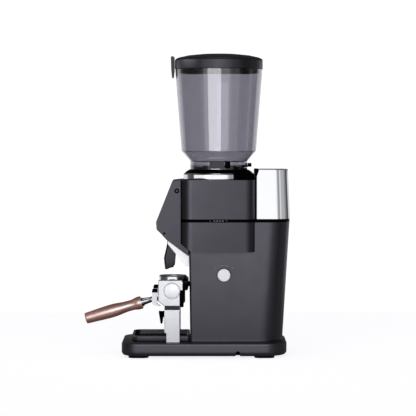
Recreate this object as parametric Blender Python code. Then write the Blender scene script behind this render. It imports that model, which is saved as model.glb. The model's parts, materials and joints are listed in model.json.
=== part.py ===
"""Burr coffee grinder: a free-standing on-demand grinder with a hopper, a fork and a portafilter.

Units: sizes below are millimetres, and MM turns them into Blender's metres.
Frame: +Z up, the grinder's front faces -Y, X = 0 is its middle plane, Z = 0 is the floor.
"""
import math

import bpy
import bmesh
from mathutils import Matrix

MM = 0.001
GAP = 0.3                 # clearance kept between touching pieces
ROUND = 48                # sides of a large turned piece
ROUND_SMALL = 16          # sides of a small turned piece

# Base slab and feet
BASE_HALF_WIDTH = 94.5
BASE_FRONT = -125.0
BASE_REAR = 193.4
BASE_FRONT_RADIUS = 33.0
BASE_REAR_RADIUS = 48.0
BASE_BOTTOM = 5.3
BASE_TOP = 30.4
FOOT_LENGTH = 39.0
FOOT_WIDTH = 26.0
FOOT_X = 62.0
FOOT_FRONT_Y = -92.5
FOOT_REAR_Y = 150.0
NOTCH_Y = 98.5
NOTCH_Z = 11.4
NOTCH_RADIUS = 4.4

# Chassis: D-shaped in plan, its rear wall leaning out as it rises
BODY_HALF_WIDTH = 65.0
BODY_FRONT_RADIUS = 5.0
BODY_REAR_RADIUS = 48.0
BODY_WALL = 3.0
BODY_TOP = 261.2
BODY_FRONT_LOW = 7.2      # front wall at the base
FRONT_LEAN = -0.0144      # mm of Y for each mm of Z
BODY_REAR_LOW = 185.9     # rear wall at the base
REAR_LEAN = 0.0612

# Wide housing round the grinding head, in two halves with a trim band between
HOUSING_HALF_WIDTH = 80.0
HOUSING_FRONT = -10.5
HOUSING_REAR = 132.7
HOUSING_RADIUS = 22.0
HOUSING_WALL = 2.5
HOUSING_BOTTOM = 203.7
HOUSING_TOP = 342.3
HOUSING_NOSE_Z = 220.3    # where the housing's front wall ends and its slanted underside starts
HOUSING_NOSE_Y = 11.0     # where that slant meets the flat bottom
HOUSING_NOSE_RADIUS = 14.0    # rounding where they meet
HOUSING_SPARE = 2.0    # how far the side profile runs past the plan outline it trims
BAND_BOTTOM = 261.5
BAND_TOP = 267.0
BAND_WIDTH = 6.0

# Chromed rear cover
COVER_FRONT = 133.6
COVER_BOTTOM = 267.3
COVER_TOP = 363.0
COVER_REAR_LOW = 200.4
COVER_REAR_HIGH = 196.4

# Grinding axis
AXIS_Y = 62.5
RING_RADIUS = 69.2
RING_BOTTOM = 342.9
RING_TOP = 355.0
RING_BORE = 45.5
CHAMBER_RADIUS = 50.0
BURR_RADIUS = 32.0
SHAFT_RADIUS = 6.0
MOTOR_RADIUS = 46.0

# Hopper and lid
HOPPER_TOP = 570.0
HOPPER_TOP_RADIUS = 85.0
HOPPER_STEP_Z = 556.4
HOPPER_CORNER_RADIUS = 72.7
HOPPER_CORNER_Z = 397.7
NECK_RADIUS = 55.6
NECK_TOP = 378.0
NECK_LOW = 361.6
COLLAR_FLOOR = 366.5      # the gate slides just above this
HOPPER_WALL = 2.4
GATE_HOLE = 28.0
GATE_HALF_WIDTH = 32.0
GATE_BOTTOM = 366.9
GATE_TOP = 370.4
LID_RADIUS = 85.6
LID_SKIRT_BOTTOM = 556.8
LID_APEX = 586.8

# Portafilter fork
COLUMN_INNER = 64.5
COLUMN_OUTER = 80.0
COLUMN_FRONT = -42.6
COLUMN_REAR = -13.0
COLUMN_TOP = 93.5
ROD_X = 72.0
ROD_Y = -27.7
ROD_RADIUS = 4.0
KNOB_Z = 130.3
KNOB_RADIUS = 15.7
ARM_BOTTOM = 118.0
ARM_TOP = 126.0

# Portafilter
FILTER_Y = -27.0
FILTER_RADIUS = 27.5
BOWL_RADIUS = 24.0
BOWL_BOTTOM = 94.0
RING_LOW = 126.4
RIM_TOP = 153.4
HANDLE_START = (-87.9, 101.6)
HANDLE_END = (-196.3, 70.1)

# Tray
TRAY_HALF_WIDTH = 62.0
TRAY_FRONT = -106.0
TRAY_REAR = 5.5
TRAY_RADIUS = 16.0
TRAY_TOP = 42.6

# Controls
POWER_Y = 72.0
POWER_Z = 159.5
POWER_RADIUS = 12.4
START_Z = 138.0


def body_front(z):
    """Y of the chassis's front wall at height z."""
    return BODY_FRONT_LOW + FRONT_LEAN * (z - BASE_TOP)


def body_rear(z):
    """Y of the chassis's rear wall at height z."""
    return BODY_REAR_LOW + REAR_LEAN * (z - BASE_TOP)


# Outlines

def arc(cx, cy, radius, start, end, steps):
    """Points along an arc, angles in degrees, both ends included."""
    points = []
    for i in range(steps + 1):
        angle = math.radians(start + (end - start) * i / steps)
        points.append((cx + radius * math.cos(angle), cy + radius * math.sin(angle)))
    return points


def rounded_plan(half_width, front, rear, front_radius, rear_radius, inset=0.0, steps=8):
    """A rectangle in plan with rounded corners, anticlockwise, moved in by inset."""
    hw = half_width - inset
    y0 = front + inset
    y1 = rear - inset
    rf = max(front_radius - inset, 0.5)
    rr = max(rear_radius - inset, 0.5)
    points = arc(hw - rf, y0 + rf, rf, -90, 0, steps)
    points += arc(hw - rr, y1 - rr, rr, 0, 90, steps)
    points += arc(-hw + rr, y1 - rr, rr, 90, 180, steps)
    points += arc(-hw + rf, y0 + rf, rf, 180, 270, steps)
    return points


def rectangle(x0, x1, y0, y1):
    return [(x0, y0), (x1, y0), (x1, y1), (x0, y1)]


def body_plan(z, inset=0.0):
    """The chassis's outline in plan at height z."""
    return rounded_plan(BODY_HALF_WIDTH, body_front(z), body_rear(z),
                        BODY_FRONT_RADIUS, BODY_REAR_RADIUS, inset)


def housing_plan(inset=0.0):
    return rounded_plan(HOUSING_HALF_WIDTH, HOUSING_FRONT, HOUSING_REAR,
                        HOUSING_RADIUS, HOUSING_RADIUS, inset)


# Solids

def material(name, colour, roughness, metallic=0.0, alpha=1.0):
    found = bpy.data.materials.get(name)
    if found:
        return found
    made = bpy.data.materials.new(name)
    made.use_nodes = True
    shader = made.node_tree.nodes["Principled BSDF"]
    shader.inputs["Base Color"].default_value = (*colour, 1.0)
    shader.inputs["Roughness"].default_value = roughness
    shader.inputs["Metallic"].default_value = metallic
    shader.inputs["Alpha"].default_value = alpha
    return made


PAINT = ("painted_graphite", (0.080, 0.078, 0.095), 0.45)
BLACK = ("black_plastic", (0.008, 0.008, 0.009), 0.5)
RUBBER = ("black_rubber", (0.012, 0.012, 0.013), 0.8)
CHROME = ("chrome", (0.80, 0.80, 0.82), 0.06, 1.0)
SATIN = ("satin_aluminium", (0.62, 0.63, 0.66), 0.35, 1.0)
STEEL = ("ground_steel", (0.45, 0.45, 0.46), 0.3, 1.0)
SMOKE = ("smoked_clear_plastic", (0.35, 0.34, 0.37), 0.05, 0.0, 0.35)
WOOD = ("walnut", (0.16, 0.075, 0.05), 0.4)
GLASS = ("black_glass", (0.004, 0.004, 0.005), 0.05)
FROST = ("frosted_plastic", (0.85, 0.85, 0.86), 0.4)
WHITE = ("white_enamel", (0.82, 0.82, 0.84), 0.35)
COPPER = ("enamelled_copper", (0.40, 0.14, 0.05), 0.35, 1.0)
BOARD = ("circuit_board", (0.01, 0.08, 0.03), 0.5)


def make_object(name, vertices, faces, finish):
    """A mesh object from millimetre vertices, its faces turned outwards and shaded by angle."""
    mesh = bpy.data.meshes.new(name)
    mesh.from_pydata([(x * MM, y * MM, z * MM) for x, y, z in vertices], [], faces)
    work = bmesh.new()
    work.from_mesh(mesh)
    bmesh.ops.recalc_face_normals(work, faces=work.faces)
    work.to_mesh(mesh)
    work.free()
    mesh.shade_smooth()
    mesh.set_sharp_from_angle(angle=math.radians(30))
    made = bpy.data.objects.new(name, mesh)
    bpy.context.scene.collection.objects.link(made)
    made.data.materials.append(material(*finish))
    return made


def skin(loops):
    """Quads between neighbouring loops of equal length, as vertex indices."""
    faces = []
    count = len(loops[0])
    for k in range(len(loops) - 1):
        for i in range(count):
            j = (i + 1) % count
            faces.append((k * count + i, k * count + j, (k + 1) * count + j, (k + 1) * count + i))
    return faces


def loft(name, loops, finish):
    """A closed solid through a list of loops of 3-D points, with a flat cap at each end."""
    count = len(loops[0])
    vertices = [point for loop in loops for point in loop]
    faces = skin(loops)
    faces.append(tuple(range(count)))
    last = (len(loops) - 1) * count
    faces.append(tuple(last + i for i in range(count)))
    return make_object(name, vertices, faces, finish)


def duct(name, outer, inner, finish):
    """A wall between outer and inner loops, open at both ends."""
    count = len(outer[0])
    levels = len(outer)
    vertices = [point for loop in outer + inner for point in loop]
    shift = levels * count
    faces = skin(outer)
    faces += [tuple(shift + v for v in face) for face in skin(inner)]
    for level in (0, levels - 1):
        for i in range(count):
            j = (i + 1) % count
            a = level * count
            faces.append((a + i, a + j, shift + a + j, shift + a + i))
    return make_object(name, vertices, faces, finish)


def upright(name, outline, low, high, finish):
    """An outline in plan (X, Y) extruded from height low to high."""
    return loft(name, [[(x, y, z) for x, y in outline] for z in (low, high)], finish)


def sideways(name, outline, x0, x1, finish):
    """A side outline (Y, Z) extruded along X from x0 to x1."""
    return loft(name, [[(x, y, z) for y, z in outline] for x in (x0, x1)], finish)


def block(name, x, y, z, finish):
    """A box from three (low, high) pairs."""
    return upright(name, rectangle(x[0], x[1], y[0], y[1]), z[0], z[1], finish)


def turned(name, profile, finish, centre=(0.0, 0.0), axis="Z", segments=ROUND):
    """A closed profile of (radius, height) points turned round an axis.

    centre is (X, Y) for axis Z and (Y, Z) for axis X; a point of radius 0 becomes one pole.
    """
    vertices = []
    rows = []
    for radius, height in profile:
        if radius == 0:
            ring = [(0.0, 0.0, height)]
        else:
            ring = [(*point, height) for point in arc(0, 0, radius, 0, 360, segments)[:-1]]
        rows.append((len(vertices), len(ring)))
        for a, b, h in ring:
            if axis == "Z":
                vertices.append((centre[0] + a, centre[1] + b, h))
            else:
                vertices.append((h, centre[0] + a, centre[1] + b))
    faces = []
    for k, (start, size) in enumerate(rows):
        following, next_size = rows[(k + 1) % len(rows)]
        if size == 1 and next_size == 1:
            continue
        for i in range(segments):
            j = (i + 1) % segments
            if size == 1:
                faces.append((start, following + j, following + i))
            elif next_size == 1:
                faces.append((start + i, start + j, following))
            else:
                faces.append((start + i, start + j, following + j, following + i))
    return make_object(name, vertices, faces, finish)


def disc(name, radius, low, high, finish, centre=(0.0, 0.0), axis="Z", segments=ROUND_SMALL):
    """A plain cylinder."""
    profile = [(0, low), (radius, low), (radius, high), (0, high)]
    return turned(name, profile, finish, centre, axis, segments)


def washer(name, inner, outer, low, high, finish, segments=ROUND_SMALL):
    """A plain ring on the grinding axis."""
    profile = [(inner, low), (outer, low), (outer, high), (inner, high)]
    return turned(name, profile, finish, (0, AXIS_Y), "Z", segments)


def apply_tool(target, tool, operation):
    """Keeps a live exact Boolean on target; the tool itself is left out of the model."""
    tool.hide_render = True
    tool.display_type = "WIRE"
    change = target.modifiers.new(tool.name, "BOOLEAN")
    change.operation = operation
    change.solver = "EXACT"
    change.object = tool
    return target


def cut(target, tool):
    return apply_tool(target, tool, "DIFFERENCE")


def join(target, tool):
    return apply_tool(target, tool, "UNION")


def keep(target, tool):
    return apply_tool(target, tool, "INTERSECT")


def along(path, half_width, half_depth, chamfer):
    """Eight-sided loops across a path of (Y, Z) points, mitred at its bends."""
    loops = []
    for i, (y, z) in enumerate(path):
        before = path[max(i - 1, 0)]
        after = path[min(i + 1, len(path) - 1)]
        run = math.hypot(after[0] - before[0], after[1] - before[1])
        ny, nz = (before[1] - after[1]) / run, (after[0] - before[0]) / run
        a, b, c = half_width, half_depth, chamfer
        corner = [(a, -b + c), (a, b - c), (a - c, b), (c - a, b),
                  (-a, b - c), (-a, c - b), (c - a, -b), (a - c, -b)]
        loops.append([(x, y + d * ny, z + d * nz) for x, d in corner])
    return loops


def tube_rounds(path, radii, segments=ROUND_SMALL):
    """Round loops across a path of (Y, Z) points in the middle plane, one radius each."""
    loops = []
    for i, (y, z) in enumerate(path):
        before = path[max(i - 1, 0)]
        after = path[min(i + 1, len(path) - 1)]
        run = math.hypot(after[0] - before[0], after[1] - before[1])
        ny, nz = (before[1] - after[1]) / run, (after[0] - before[0]) / run
        loop = []
        for a, b in arc(0, 0, radii[i], 0, 360, segments)[:-1]:
            loop.append((a, y + b * ny, z + b * nz))
        loops.append(loop)
    return loops


# Base and body

def make_base():
    steps = [(BASE_BOTTOM, 9.0), (9.5, 3.0), (14.0, 0.0), (26.0, 0.0), (29.2, 1.4), (BASE_TOP, 4.5)]
    loops = []
    for z, inset in steps:
        plan = rounded_plan(BASE_HALF_WIDTH, BASE_FRONT, BASE_REAR,
                            BASE_FRONT_RADIUS, BASE_REAR_RADIUS, inset, 6)
        loops.append([(x, y, z) for x, y in plan])
    plate = loft("base_plate", loops, PAINT)
    arch = arc(NOTCH_Y, NOTCH_Z, NOTCH_RADIUS, 0, 180, 8)
    arch += [(NOTCH_Y - NOTCH_RADIUS, 0.0), (NOTCH_Y + NOTCH_RADIUS, 0.0)]
    cut(plate, sideways("notch_cutter", arch, 72.0, 96.0, BLACK))
    gland = [(2.2, 90.0), (3.9, 90.0), (3.9, 72.4), (0, 72.4), (0, 75.0), (2.2, 75.0)]
    turned("cable_gland", gland, BLACK, (NOTCH_Y, NOTCH_Z), "X", 12)
    for side, x in (("left", -FOOT_X), ("right", FOOT_X)):
        for end, y in (("front", FOOT_FRONT_Y), ("rear", FOOT_REAR_Y)):
            half = FOOT_WIDTH / 2 - 0.2
            plan = rounded_plan(half, -FOOT_LENGTH / 2, FOOT_LENGTH / 2, half - 1, half - 1, 0, 3)
            moved = [(px + x, py + y) for px, py in plan]
            upright(f"foot_{end}_{side}", moved, 0.0, BASE_BOTTOM - GAP, RUBBER)


def make_chassis():
    levels = (BASE_TOP + GAP, BODY_TOP)
    outer = [[(x, y, z) for x, y in body_plan(z)] for z in levels]
    inner = [[(x, y, z) for x, y in body_plan(z, BODY_WALL)] for z in levels]
    shell = duct("chassis_shell", outer, inner, PAINT)
    cut(shell, disc("power_bore", 3.4, 60.0, 68.0, BLACK, (POWER_Y, POWER_Z), "X"))
    opening = rectangle(-5.4, 5.4, 2.0, 12.0)
    cut(shell, upright("start_cutter", opening, START_Z - 5.4, START_Z + 5.4, BLACK))


def make_housing():
    plan = housing_plan()
    front = HOUSING_FRONT - HOUSING_SPARE
    rear = HOUSING_REAR + HOUSING_SPARE
    slant = math.atan2(HOUSING_NOSE_Z + 1.5 - HOUSING_BOTTOM, HOUSING_NOSE_Y - front)
    reach = HOUSING_NOSE_RADIUS * math.tan(slant / 2)
    nose = arc(HOUSING_NOSE_Y + reach, HOUSING_BOTTOM + HOUSING_NOSE_RADIUS, HOUSING_NOSE_RADIUS,
               270 - math.degrees(slant), 270, 6)
    side = [(front, HOUSING_NOSE_Z + 1.5), *nose, (rear, HOUSING_BOTTOM), (rear, BODY_TOP), (front, BODY_TOP)]
    lower = upright("housing_lower", plan, HOUSING_BOTTOM - 5, BODY_TOP, PAINT)
    keep(lower, sideways("lower_side_profile", side, -90.0, 90.0, PAINT))
    inner = housing_plan(HOUSING_WALL)
    profile = [(-12.0, 225.3), (12.5, 206.7), (135.0, 206.7), (135.0, 268.0), (-12.0, 268.0)]
    room = upright("lower_room", inner, 200.0, 270.0, PAINT)
    keep(room, sideways("room_side_profile", profile, -85.0, 85.0, PAINT))
    cut(lower, room)
    clear = rectangle(-BODY_HALF_WIDTH - GAP, BODY_HALF_WIDTH + GAP, 3.5, 140.0)
    cut(lower, upright("lower_clearance", clear, 190.0, 270.0, PAINT))

    band = upright("trim_band", plan, BAND_BOTTOM, BAND_TOP, BLACK)
    join(band, upright("band_rear", body_plan(BAND_BOTTOM), BAND_BOTTOM, BAND_TOP, BLACK))
    front_hole = rectangle(-70.0, 70.0, -2.0, 125.0)
    cut(band, upright("band_front_hole", front_hole, 250.0, 280.0, BLACK))
    rear_hole = body_plan(BAND_BOTTOM, BAND_WIDTH)
    cut(band, upright("band_rear_hole", rear_hole, 250.0, 280.0, BLACK))

    upper = upright("housing_upper", plan, BAND_TOP + GAP, HOUSING_TOP, PAINT)
    cut(upper, upright("upper_room", inner, 260.0, HOUSING_TOP - HOUSING_WALL, PAINT))
    cut(upper, disc("ring_hole", 59.5, 330.0, 350.0, PAINT, (0, AXIS_Y), "Z", ROUND))
    cut(upper, block("chute_hole", (-15.0, 15.0), (-15.0, 0.0), (287.0, 313.0), PAINT))


def make_rear_cover():
    def plan(rear, inset):
        return rounded_plan(BODY_HALF_WIDTH, COVER_FRONT, rear, 3.0, BODY_REAR_RADIUS, inset, 6)

    low = [(x, y, COVER_BOTTOM) for x, y in plan(COVER_REAR_LOW, 0)]
    high = [(x, y, COVER_TOP) for x, y in plan(COVER_REAR_HIGH, 0)]
    cover = loft("rear_cover", [low, high], CHROME)
    low = [(x, y, COVER_BOTTOM - 5) for x, y in plan(COVER_REAR_LOW, 2.5)]
    high = [(x, y, COVER_TOP - 2.5) for x, y in plan(COVER_REAR_HIGH, 2.5)]
    cut(cover, loft("cover_room", [low, high], CHROME))
    slant = [(130.0, 344.0), (133.6, 344.0), (140.2, 364.0), (130.0, 364.0)]
    cut(cover, sideways("cover_slant", slant, -80.0, 80.0, CHROME))
    liner = [(132.1, HOUSING_TOP + GAP), (132.9, HOUSING_TOP + GAP),
             (139.2, 362.4), (132.1, 362.4)]
    sideways("rear_liner", liner, -61.0, 61.0, BLACK)


HEAD = [(-10.8, 342.3), (-27.3, 340.3), (-58.6, 261.6), (-57.5, 247.0), (-50.8, 240.8),
        (-37.9, 226.6), (4.2, 195.3), (4.2, 208.2), (-10.8, 220.0)]


def make_head():
    half = BODY_HALF_WIDTH
    head = sideways("head_shell", HEAD, -half, half, PAINT)
    room = [(-5.0, 339.2), (-25.3, 337.2), (-55.4, 261.2), (-54.4, 248.3), (-48.6, 243.0),
            (-36.4, 229.6), (-13.8, 212.8), (-13.8, 223.0), (-5.0, 223.0)]
    cut(head, sideways("head_room", room, -half + 3, half - 3, PAINT))
    cut(head, block("spout_hole", (-12.0, 12.0), (-39.0, -23.5), (200.0, 240.0), PAINT))

    # touch panel, let into the slanted front face
    top, bottom = HEAD[1], HEAD[2]
    run = math.hypot(bottom[0] - top[0], bottom[1] - top[1])
    dy, dz = (bottom[0] - top[0]) / run, (bottom[1] - top[1]) / run
    ny, nz = dz, -dy

    def slab(margin, depth, proud):
        a = (top[0] + dy * margin, top[1] + dz * margin)
        b = (bottom[0] - dy * margin, bottom[1] - dz * margin)
        return [(a[0] + ny * proud, a[1] + nz * proud), (b[0] + ny * proud, b[1] + nz * proud),
                (b[0] - ny * depth, b[1] - nz * depth), (a[0] - ny * depth, a[1] - nz * depth)]

    cut(head, sideways("panel_recess", slab(5.7, 1.8, 2.0), -58.3, 58.3, PAINT))
    sideways("touch_panel", slab(6.0, 1.5, 0.0), -58.0, 58.0, GLASS)

    light = [(-36.0, 224.7), (4.1, 194.8), (4.1, 175.0), (1.6, 171.8), (-3.1, 174.2),
             (-20.2, 196.8), (-37.2, 217.5)]
    lamp = sideways("work_light", light, -26.0, 26.0, FROST)
    cut(lamp, block("light_gap", (-14.6, 14.6), (-50.0, -20.6), (160.0, 240.0), FROST))

    levels = [((-36.4, 231.0), (-26.2, 231.0), 10.0), ((-39.0, 214.0), (-25.2, 214.0), 11.0),
              ((-44.6, 189.0), (-21.4, 195.0), 13.0), ((-43.6, 178.0), (-23.0, 176.5), 13.2),
              ((-42.3, 167.0), (-26.5, 170.5), 12.0)]
    outer, inner = [], []
    for front, rear, half_width in levels:
        for loops, wall in ((outer, 0.0), (inner, 2.0)):
            hw = half_width - wall
            y0, y1 = front[0] + wall, rear[0] - wall
            z0, z1 = front[1], rear[1]
            c = 3.0
            loops.append([(hw, y0 + c, z0), (hw, y1 - c, z1), (hw - c, y1, z1), (c - hw, y1, z1),
                          (-hw, y1 - c, z1), (-hw, y0 + c, z0), (c - hw, y0, z0), (hw - c, y0, z0)])
    duct("spout", outer, inner, BLACK)

    path = [(12.0, 300.0), (-15.0, 300.0), (-31.0, 282.0), (-31.0, 236.0)]
    duct("exit_chute", along(path, 12.0, 8.5, 3.0), along(path, 10.5, 7.0, 2.0), SATIN)


# Grinding parts

def make_grinder():
    ring = [(RING_BORE, RING_TOP), (66.5, RING_TOP), (RING_RADIUS, RING_TOP - 2.6),
            (RING_RADIUS, RING_BOTTOM), (59.0, RING_BOTTOM), (59.0, 340.0), (RING_BORE, 340.0)]
    turned("adjust_ring", ring, CHROME, (0, AXIS_Y), "Z", 40)
    lever = arc(0, AXIS_Y, RING_RADIUS + GAP, 24, 56, 5) + arc(0, AXIS_Y, 77.0, 54, 45, 2)
    lever += arc(0, AXIS_Y, 88.0, 43, 37, 1) + arc(0, AXIS_Y, 77.0, 35, 26, 2)
    upright("adjust_lever", lever, 343.2, 355.5, BLACK)
    carrier = [(33.0, 349.5), (RING_BORE - GAP, 349.5), (RING_BORE - GAP, 334.6), (43.6, 334.6),
               (43.6, 318.3), (20.0, 318.3), (20.0, 324.0)]
    turned("upper_burr_carrier", carrier, SATIN, (0, AXIS_Y), "Z", 24)
    upper = [(16.0, 318.0), (BURR_RADIUS, 318.0), (BURR_RADIUS, 309.5), (24.0, 309.5), (16.0, 313.5)]
    turned("upper_burr", upper, STEEL, (0, AXIS_Y), "Z", 24)
    lower = [(12.0, 304.5), (24.0, 308.6), (BURR_RADIUS, 308.6), (BURR_RADIUS, 300.3), (12.0, 300.3)]
    turned("lower_burr", lower, STEEL, (0, AXIS_Y), "Z", 24)
    washer("lower_burr_carrier", SHAFT_RADIUS + GAP, 40.0, 292.0, 300.0, SATIN, 24)

    chamber = [(44.0, 333.0), (CHAMBER_RADIUS, 333.0), (CHAMBER_RADIUS, 284.0), (40.0, 284.0),
               (40.0, 243.3), (36.0, 243.3), (36.0, 284.0), (9.0, 284.0), (9.0, 289.5), (44.0, 289.5)]
    cup = turned("grinding_chamber", chamber, SATIN, (0, AXIS_Y), "Z", 24)
    cut(cup, block("chamber_exit", (-9.5, 9.5), (5.0, 25.0), (291.5, 308.5), SATIN))


def make_motor():
    disc("drive_shaft", SHAFT_RADIUS, 46.0, 298.0, STEEL, (0, AXIS_Y))
    can = [(14.0, 236.0), (MOTOR_RADIUS, 236.0), (MOTOR_RADIUS, 76.0), (MOTOR_RADIUS - 3, 76.0),
           (MOTOR_RADIUS - 3, 232.5), (14.0, 232.5)]
    turned("motor_housing", can, BLACK, (0, AXIS_Y), "Z", 24)
    washer("motor_stator", 29.5, MOTOR_RADIUS - 3.4, 105.0, 205.0, COPPER, 24)
    washer("motor_rotor", SHAFT_RADIUS + GAP, 28.5, 100.0, 210.0, STEEL, 20)
    washer("upper_bearing", SHAFT_RADIUS + GAP, 14.0, 246.0, 256.0, STEEL)
    washer("lower_bearing", SHAFT_RADIUS + GAP, 14.0, 67.0, 75.0, STEEL)
    washer("motor_end_plate", 14.4, MOTOR_RADIUS, 68.0, 75.7, SATIN, 24)
    blades = []
    for i in range(8):
        for radius, turn in ((12.0, 14.0), (36.0, 19.0), (36.0, 26.0), (12.0, 31.0)):
            angle = math.radians(45 * i + turn)
            blades.append((radius * math.cos(angle), AXIS_Y + radius * math.sin(angle)))
    fan = upright("cooling_fan", blades, 50.0, 62.0, BLACK)
    cut(fan, disc("fan_bore", SHAFT_RADIUS + GAP, 45.0, 66.0, BLACK, (0, AXIS_Y), "Z", 12))
    deck = rounded_plan(60.5, 9.0, 118.0, 21.0, 6.0)
    mount = upright("motor_mount", deck, 237.0, 243.0, SATIN)
    cut(mount, disc("mount_bore", 14.0, 230.0, 250.0, SATIN, (0, AXIS_Y)))
    block("control_board", (-36.0, 36.0), (158.0, 160.0), (110.0, 205.0), BOARD)


def make_controls():
    knob = [(0, 58.0), (3.0, 58.0), (3.0, 65.6), (POWER_RADIUS - 0.4, 65.6), (POWER_RADIUS, 66.4),
            (POWER_RADIUS, 69.6), (POWER_RADIUS - 0.9, 70.4), (0, 70.4)]
    turned("power_knob", knob, WHITE, (POWER_Y, POWER_Z), "X", 24)
    block("power_switch", (50.2, 57.6), (POWER_Y - 5, POWER_Y + 9), (POWER_Z - 9, POWER_Z + 9), BLACK)
    block("start_button", (-5.0, 5.0), (1.2, 9.6), (START_Z - 5.0, START_Z + 5.0), BLACK)
    block("start_switch", (-11.0, 11.0), (11.4, 15.9), (START_Z - 8.0, START_Z + 8.0), BLACK)


# Hopper and lid

def make_hopper():
    inner_neck = NECK_RADIUS - HOPPER_WALL
    profile = [(82.4, HOPPER_TOP), (82.4, HOPPER_STEP_Z), (HOPPER_TOP_RADIUS, HOPPER_STEP_Z),
               (HOPPER_CORNER_RADIUS, HOPPER_CORNER_Z), (NECK_RADIUS, NECK_TOP),
               (NECK_RADIUS, NECK_LOW), (inner_neck, NECK_LOW), (inner_neck, 377.0),
               (HOPPER_CORNER_RADIUS - 2.1, 398.0), (80.0, 545.0), (80.0, HOPPER_TOP)]
    hopper = turned("hopper", profile, SMOKE, (0, AXIS_Y), "Z", 48)
    slot = (-GATE_HALF_WIDTH - 0.6, GATE_HALF_WIDTH + 0.6)
    cut(hopper, block("gate_slot", slot, (100.0, 125.0), (COLLAR_FLOOR - 0.2, 371.0), SMOKE))
    collar = [(66.0, RING_TOP + 0.4), (58.0, NECK_LOW - 0.4), (inner_neck - 0.4, NECK_LOW - 0.4),
              (inner_neck - 0.4, COLLAR_FLOOR), (GATE_HOLE, COLLAR_FLOOR), (GATE_HOLE, 357.0),
              (42.0, 357.0), (42.0, 352.0), (44.6, 352.0), (44.6, RING_TOP + 0.4)]
    turned("hopper_collar", collar, BLACK, (0, AXIS_Y), "Z", 48)

    plate = arc(0, AXIS_Y, GATE_HALF_WIDTH, 180, 360, 12)
    plate += [(GATE_HALF_WIDTH, 117.0), (20.0, 119.6), (-20.0, 119.6), (-GATE_HALF_WIDTH, 117.0)]
    gate = upright("hopper_gate", plate, GATE_BOTTOM, GATE_TOP, BLACK)
    join(gate, block("gate_tab", (-14.0, 14.0), (119.0, 126.0), (GATE_BOTTOM, 374.0), BLACK))

    latch = arc(0, AXIS_Y, 56.1, -18, 10, 5) + arc(0, AXIS_Y, 59.6, 10, -18, 5)
    upright("hopper_latch", latch, 364.5, 377.2, CHROME)

    cover = [(0, LID_APEX), (32.0, 586.0), (60.0, 583.2), (78.0, 579.2), (84.0, 576.4),
             (LID_RADIUS, 573.5), (LID_RADIUS, LID_SKIRT_BOTTOM), (83.0, LID_SKIRT_BOTTOM),
             (83.0, 570.4), (79.6, 570.4), (79.6, 549.2), (76.6, 549.2), (76.6, 573.0), (0, 580.0)]
    turned("lid", cover, BLACK, (0, AXIS_Y), "Z", 48)
    clip = [(-31.0, 581.0), (-27.0, 582.0), (-23.6, 579.5), (-23.6, 552.0), (-25.0, 539.5),
            (-28.5, 539.0), (-30.2, 556.0)]
    sideways("lid_clip", clip, -9.0, 9.0, BLACK)


# Fork and portafilter

def make_fork():
    for side, sign in (("left", -1), ("right", 1)):
        def across(a, b):
            return sorted((a * sign, b * sign))

        foot = [(COLUMN_FRONT, COLUMN_TOP), (COLUMN_FRONT, 50.0), (COLUMN_FRONT + 3.8, 48.0),
                (COLUMN_FRONT + 3.8, BASE_TOP + GAP), (COLUMN_REAR, BASE_TOP + GAP),
                (COLUMN_REAR, COLUMN_TOP)]
        column = sideways(f"column_{side}", foot, *across(COLUMN_INNER, COLUMN_OUTER), SATIN)
        rod_at = (ROD_X * sign, ROD_Y)
        join(column, disc(f"rod_{side}", ROD_RADIUS, 60.0, 139.0, SATIN, rod_at, "Z", 12))
        band = block(f"column_band_{side}", across(COLUMN_INNER + 0.5, COLUMN_OUTER - 0.5),
                     (COLUMN_FRONT + 0.5, COLUMN_REAR - 0.5), (COLUMN_TOP + GAP, 100.4), RUBBER)
        cut(band, disc(f"band_bore_{side}", 4.4, 90.0, 103.0, RUBBER, rod_at, "Z", 12))

        outline = [(-54.0, 150.0), (-54.0, 110.0), (-42.7, 100.8), (-12.5, 100.8), (-12.5, 130.8),
                   (-6.9, 130.8), (-6.9, 147.0), (-9.5, 150.0)]
        head = sideways(f"fork_block_{side}", outline, *across(62.0, COLUMN_OUTER), SATIN)
        cut(head, disc(f"rod_bore_{side}", 4.4, 95.0, 142.0, SATIN, rod_at, "Z", 12))
        stub = across(77.8, 83.0)
        cut(head, disc(f"stub_bore_{side}", 4.3, *stub, SATIN, (ROD_Y, KNOB_Z), "X", 12))
        knob = [(0, 78.1), (3.9, 78.1), (3.9, 80.3), (KNOB_RADIUS - 0.6, 80.3), (KNOB_RADIUS, 80.9),
                (KNOB_RADIUS, 82.2), (KNOB_RADIUS - 0.6, 82.8), (0, 82.8)]
        knob = [(radius, x * sign) for radius, x in knob]
        turned(f"lock_knob_{side}", knob, SATIN, (ROD_Y, KNOB_Z), "X", 24)

        arm = block(f"fork_arm_{side}", across(25.0, 61.7), (-50.0, -12.8),
                    (ARM_BOTTOM, ARM_TOP), CHROME)
        hook = [(-66.6, 125.5), (-66.6, 104.5), (-63.0, 100.3), (-55.0, 98.8), (-50.0, 98.8),
                (-57.0, 105.0), (-57.0, 118.2), (-49.0, 118.2), (-49.0, 125.5)]
        join(arm, sideways(f"hook_{side}", hook, *across(47.0, 58.0), CHROME))

    cheek = [(-12.2, 98.5), (-5.6, 98.5), (-5.6, 131.0), (2.2, 131.0), (2.2, 146.5),
             (-6.6, 146.5), (-6.6, 130.2), (-12.2, 130.2)]
    bridge = sideways("fork_bridge", cheek, 44.0, 78.0, BLACK)
    join(bridge, sideways("far_cheek", cheek, -78.0, -44.0, BLACK))
    join(bridge, block("bridge_plate", (-46.0, 46.0), (0.9, 3.2), (131.3, 146.3), BLACK))
    cut(bridge, block("bridge_slot", (-6.0, 6.0), (-2.0, 5.0), (125.0, 144.0), BLACK))


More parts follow.
